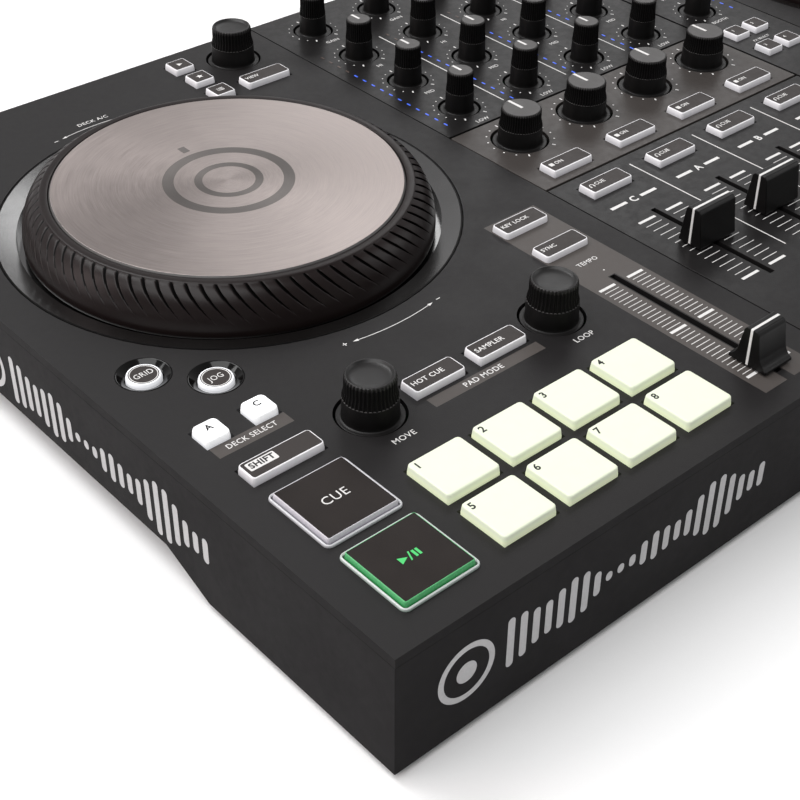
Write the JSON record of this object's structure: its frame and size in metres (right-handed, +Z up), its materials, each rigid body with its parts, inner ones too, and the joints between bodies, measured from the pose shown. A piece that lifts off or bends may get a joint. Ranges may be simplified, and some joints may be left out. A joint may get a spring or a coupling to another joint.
{
  "type": "dj controller",
  "caption": "Tabletop DJ controller: two decks with turning jog wheels, lit pads and tempo faders either side of a mixer with knobs, faders and a crossfader.",
  "frame": {"origin": "middle of the footprint, on the surface the rubber feet stand on", "axes": "+Z up, +Y from the user's side to the rear sockets, +X to the user's right"},
  "size_m": [0.532, 0.297, 0.0592],
  "materials": {
    "case_plastic": "fine moulded texture",
    "panel_metal": "satin paint",
    "well_plastic": "polished",
    "board": "solder mask",
    "control_metal": "plain",
    "foot_rubber": "matte",
    "screw_steel": "blackened",
    "socket_plastic": "moulded",
    "clear_trim": "frosted clear",
    "jog_rim_plastic": "satin",
    "jog_alloy": "concentric brushed, anodised warm grey",
    "pad_rubber": "translucent silicone, lit white",
    "cap_plastic": "frosted translucent with a dark printed top",
    "fader_plastic": "fine texture, white index line",
    "knob_plastic": "ribbed, soft touch"
  },
  "bodies": {
    "case": {"bottom_case": "case_plastic", "top_case": "case_plastic", "mixer_plates": "panel_metal", "jog_wells": "well_plastic", "circuit_boards": "board", "control_bodies": "control_metal", "rubber_feet": "foot_rubber", "case_screws": "screw_steel", "sockets": "socket_plastic", "light_guides": "clear_trim"},
    "jog_left": {"jog_ring_left": "jog_rim_plastic", "jog_plate_left": "jog_alloy"},
    "jog_right": {"jog_ring_right": "jog_rim_plastic", "jog_plate_right": "jog_alloy"},
    "browse_left": {"browse_left": "knob_plastic"},
    "browse_right": {"browse_right": "knob_plastic"},
    "loop_left": {"loop_left": "knob_plastic"},
    "loop_right": {"loop_right": "knob_plastic"},
    "move_left": {"move_left": "knob_plastic"},
    "move_right": {"move_right": "knob_plastic"},
    "low_c": {"low_c": "knob_plastic"},
    "mid_c": {"mid_c": "knob_plastic"},
    "hi_c": {"hi_c": "knob_plastic"},
    "gain_c": {"gain_c": "knob_plastic"},
    "low_a": {"low_a": "knob_plastic"},
    "mid_a": {"mid_a": "knob_plastic"},
    "hi_a": {"hi_a": "knob_plastic"},
    "gain_a": {"gain_a": "knob_plastic"},
    "low_b": {"low_b": "knob_plastic"},
    "mid_b": {"mid_b": "knob_plastic"},
    "hi_b": {"hi_b": "knob_plastic"},
    "gain_b": {"gain_b": "knob_plastic"},
    "low_d": {"low_d": "knob_plastic"},
    "mid_d": {"mid_d": "knob_plastic"},
    "hi_d": {"hi_d": "knob_plastic"},
    "gain_d": {"gain_d": "knob_plastic"},
    "filter_c": {"filter_c": "knob_plastic"},
    "filter_a": {"filter_a": "knob_plastic"},
    "filter_b": {"filter_b": "knob_plastic"},
    "filter_d": {"filter_d": "knob_plastic"},
    "main_level": {"main_level": "knob_plastic"},
    "booth_level": {"booth_level": "knob_plastic"},
    "cue_mix": {"cue_mix": "knob_plastic"},
    "phones_level": {"phones_level": "knob_plastic"},
    "tempo_left": {"tempo_left": "fader_plastic"},
    "tempo_right": {"tempo_right": "fader_plastic"},
    "fader_c": {"fader_c": "fader_plastic"},
    "fader_a": {"fader_a": "fader_plastic"},
    "fader_b": {"fader_b": "fader_plastic"},
    "fader_d": {"fader_d": "fader_plastic"},
    "crossfader": {"crossfader": "fader_plastic"},
    "cue_left": {"cue_left": "cap_plastic"},
    "play_left": {"play_left": "cap_plastic"},
    "pads_left": {"pads_left": "pad_rubber"},
    "deck_buttons_left": {"deck_buttons_left": "cap_plastic"},
    "cue_right": {"cue_right": "cap_plastic"},
    "play_right": {"play_right": "cap_plastic"},
    "pads_right": {"pads_right": "pad_rubber"},
    "deck_buttons_right": {"deck_buttons_right": "cap_plastic"},
    "mixer_buttons": {"mixer_buttons": "cap_plastic"}
  },
  "joints": [
    {"name": "jog_left_spin", "type": "hinge", "parent": "case", "child": "jog_left", "pos_m": [-0.1775, 0.0365, 0.044], "axis": [0, 0, 1], "continuous": true},
    {"name": "jog_right_spin", "type": "hinge", "parent": "case", "child": "jog_right", "pos_m": [0.1761, 0.0365, 0.044], "axis": [0, 0, 1], "continuous": true},
    {"name": "browse_left_turn", "type": "hinge", "parent": "case", "child": "browse_left", "pos_m": [-0.1082, 0.1303, 0.044], "axis": [0, 0, 1], "continuous": true},
    {"name": "browse_right_turn", "type": "hinge", "parent": "case", "child": "browse_right", "pos_m": [0.2454, 0.1303, 0.044], "axis": [0, 0, 1], "continuous": true},
    {"name": "loop_left_turn", "type": "hinge", "parent": "case", "child": "loop_left", "pos_m": [-0.1393, -0.0742, 0.044], "axis": [0, 0, 1], "continuous": true},
    {"name": "loop_right_turn", "type": "hinge", "parent": "case", "child": "loop_right", "pos_m": [0.2143, -0.0742, 0.044], "axis": [0, 0, 1], "continuous": true},
    {"name": "move_left_turn", "type": "hinge", "parent": "case", "child": "move_left", "pos_m": [-0.2111, -0.0746, 0.044], "axis": [0, 0, 1], "continuous": true},
    {"name": "move_right_turn", "type": "hinge", "parent": "case", "child": "move_right", "pos_m": [0.1425, -0.0746, 0.044], "axis": [0, 0, 1], "continuous": true},
    {"name": "low_c_turn", "type": "hinge", "parent": "case", "child": "low_c", "pos_m": [-0.0684, 0.0437, 0.044], "axis": [0, 0, 1], "range_deg": [-150, 150]},
    {"name": "mid_c_turn", "type": "hinge", "parent": "case", "child": "mid_c", "pos_m": [-0.0684, 0.0727, 0.044], "axis": [0, 0, 1], "range_deg": [-150, 150]},
    {"name": "hi_c_turn", "type": "hinge", "parent": "case", "child": "hi_c", "pos_m": [-0.0684, 0.1017, 0.044], "axis": [0, 0, 1], "range_deg": [-150, 150]},
    {"name": "gain_c_turn", "type": "hinge", "parent": "case", "child": "gain_c", "pos_m": [-0.0684, 0.1307, 0.044], "axis": [0, 0, 1], "range_deg": [-150, 150]},
    {"name": "low_a_turn", "type": "hinge", "parent": "case", "child": "low_a", "pos_m": [-0.035, 0.0437, 0.044], "axis": [0, 0, 1], "range_deg": [-150, 150]},
    {"name": "mid_a_turn", "type": "hinge", "parent": "case", "child": "mid_a", "pos_m": [-0.035, 0.0727, 0.044], "axis": [0, 0, 1], "range_deg": [-150, 150]},
    {"name": "hi_a_turn", "type": "hinge", "parent": "case", "child": "hi_a", "pos_m": [-0.035, 0.1017, 0.044], "axis": [0, 0, 1], "range_deg": [-150, 150]},
    {"name": "gain_a_turn", "type": "hinge", "parent": "case", "child": "gain_a", "pos_m": [-0.035, 0.1307, 0.044], "axis": [0, 0, 1], "range_deg": [-150, 150]},
    {"name": "low_b_turn", "type": "hinge", "parent": "case", "child": "low_b", "pos_m": [-0.0016, 0.0437, 0.044], "axis": [0, 0, 1], "range_deg": [-150, 150]},
    {"name": "mid_b_turn", "type": "hinge", "parent": "case", "child": "mid_b", "pos_m": [-0.0016, 0.0727, 0.044], "axis": [0, 0, 1], "range_deg": [-150, 150]},
    {"name": "hi_b_turn", "type": "hinge", "parent": "case", "child": "hi_b", "pos_m": [-0.0016, 0.1017, 0.044], "axis": [0, 0, 1], "range_deg": [-150, 150]},
    {"name": "gain_b_turn", "type": "hinge", "parent": "case", "child": "gain_b", "pos_m": [-0.0016, 0.1307, 0.044], "axis": [0, 0, 1], "range_deg": [-150, 150]},
    {"name": "low_d_turn", "type": "hinge", "parent": "case", "child": "low_d", "pos_m": [0.0318, 0.0437, 0.044], "axis": [0, 0, 1], "range_deg": [-150, 150]},
    {"name": "mid_d_turn", "type": "hinge", "parent": "case", "child": "mid_d", "pos_m": [0.0318, 0.0727, 0.044], "axis": [0, 0, 1], "range_deg": [-150, 150]},
    {"name": "hi_d_turn", "type": "hinge", "parent": "case", "child": "hi_d", "pos_m": [0.0318, 0.1017, 0.044], "axis": [0, 0, 1], "range_deg": [-150, 150]},
    {"name": "gain_d_turn", "type": "hinge", "parent": "case", "child": "gain_d", "pos_m": [0.0318, 0.1307, 0.044], "axis": [0, 0, 1], "range_deg": [-150, 150]},
    {"name": "filter_c_turn", "type": "hinge", "parent": "case", "child": "filter_c", "pos_m": [-0.0684, 0.0117, 0.044], "axis": [0, 0, 1], "range_deg": [-150, 150]},
    {"name": "filter_a_turn", "type": "hinge", "parent": "case", "child": "filter_a", "pos_m": [-0.035, 0.0117, 0.044], "axis": [0, 0, 1], "range_deg": [-150, 150]},
    {"name": "filter_b_turn", "type": "hinge", "parent": "case", "child": "filter_b", "pos_m": [-0.0016, 0.0117, 0.044], "axis": [0, 0, 1], "range_deg": [-150, 150]},
    {"name": "filter_d_turn", "type": "hinge", "parent": "case", "child": "filter_d", "pos_m": [0.0318, 0.0117, 0.044], "axis": [0, 0, 1], "range_deg": [-150, 150]},
    {"name": "main_level_turn", "type": "hinge", "parent": "case", "child": "main_level", "pos_m": [0.0667, 0.0727, 0.044], "axis": [0, 0, 1], "range_deg": [-150, 150]},
    {"name": "booth_level_turn", "type": "hinge", "parent": "case", "child": "booth_level", "pos_m": [0.0667, 0.0437, 0.044], "axis": [0, 0, 1], "range_deg": [-150, 150]},
    {"name": "cue_mix_turn", "type": "hinge", "parent": "case", "child": "cue_mix", "pos_m": [0.0692, -0.0445, 0.044], "axis": [0, 0, 1], "range_deg": [-150, 150]},
    {"name": "phones_level_turn", "type": "hinge", "parent": "case", "child": "phones_level", "pos_m": [0.0692, -0.0765, 0.044], "axis": [0, 0, 1], "range_deg": [-150, 150]},
    {"name": "tempo_left_slide", "type": "slide", "parent": "case", "child": "tempo_left", "axis": [0, 1, 0], "range_m": [-0.0034, 0.0546]},
    {"name": "tempo_right_slide", "type": "slide", "parent": "case", "child": "tempo_right", "axis": [0, 1, 0], "range_m": [-0.0034, 0.0546]},
    {"name": "fader_c_slide", "type": "slide", "parent": "case", "child": "fader_c", "axis": [0, 1, 0], "range_m": [-0.0237, 0.0198]},
    {"name": "fader_a_slide", "type": "slide", "parent": "case", "child": "fader_a", "axis": [0, 1, 0], "range_m": [-0.0237, 0.0198]},
    {"name": "fader_b_slide", "type": "slide", "parent": "case", "child": "fader_b", "axis": [0, 1, 0], "range_m": [-0.0237, 0.0198]},
    {"name": "fader_d_slide", "type": "slide", "parent": "case", "child": "fader_d", "axis": [0, 1, 0], "range_m": [-0.0237, 0.0198]},
    {"name": "crossfader_slide", "type": "slide", "parent": "case", "child": "crossfader", "axis": [1, 0, 0], "range_m": [-0.0217, 0.0217]},
    {"name": "cue_left_press", "type": "slide", "parent": "case", "child": "cue_left", "axis": [0, 0, -1], "range_m": [0, 0.001], "stiffness_N_per_m": 600, "springref_m": -0.001},
    {"name": "play_left_press", "type": "slide", "parent": "case", "child": "play_left", "axis": [0, 0, -1], "range_m": [0, 0.001], "stiffness_N_per_m": 600, "springref_m": -0.001},
    {"name": "pads_left_press", "type": "slide", "parent": "case", "child": "pads_left", "axis": [0, 0, -1], "range_m": [0, 0.001], "stiffness_N_per_m": 1500, "springref_m": -0.001},
    {"name": "deck_buttons_left_press", "type": "slide", "parent": "case", "child": "deck_buttons_left", "axis": [0, 0, -1], "range_m": [0, 0.0008], "stiffness_N_per_m": 1500, "springref_m": -0.001},
    {"name": "cue_right_press", "type": "slide", "parent": "case", "child": "cue_right", "axis": [0, 0, -1], "range_m": [0, 0.001], "stiffness_N_per_m": 600, "springref_m": -0.001},
    {"name": "play_right_press", "type": "slide", "parent": "case", "child": "play_right", "axis": [0, 0, -1], "range_m": [0, 0.001], "stiffness_N_per_m": 600, "springref_m": -0.001},
    {"name": "pads_right_press", "type": "slide", "parent": "case", "child": "pads_right", "axis": [0, 0, -1], "range_m": [0, 0.001], "stiffness_N_per_m": 1500, "springref_m": -0.001},
    {"name": "deck_buttons_right_press", "type": "slide", "parent": "case", "child": "deck_buttons_right", "axis": [0, 0, -1], "range_m": [0, 0.0008], "stiffness_N_per_m": 1500, "springref_m": -0.001},
    {"name": "mixer_buttons_press", "type": "slide", "parent": "case", "child": "mixer_buttons", "axis": [0, 0, -1], "range_m": [0, 0.0008], "stiffness_N_per_m": 1500, "springref_m": -0.001}
  ]
}
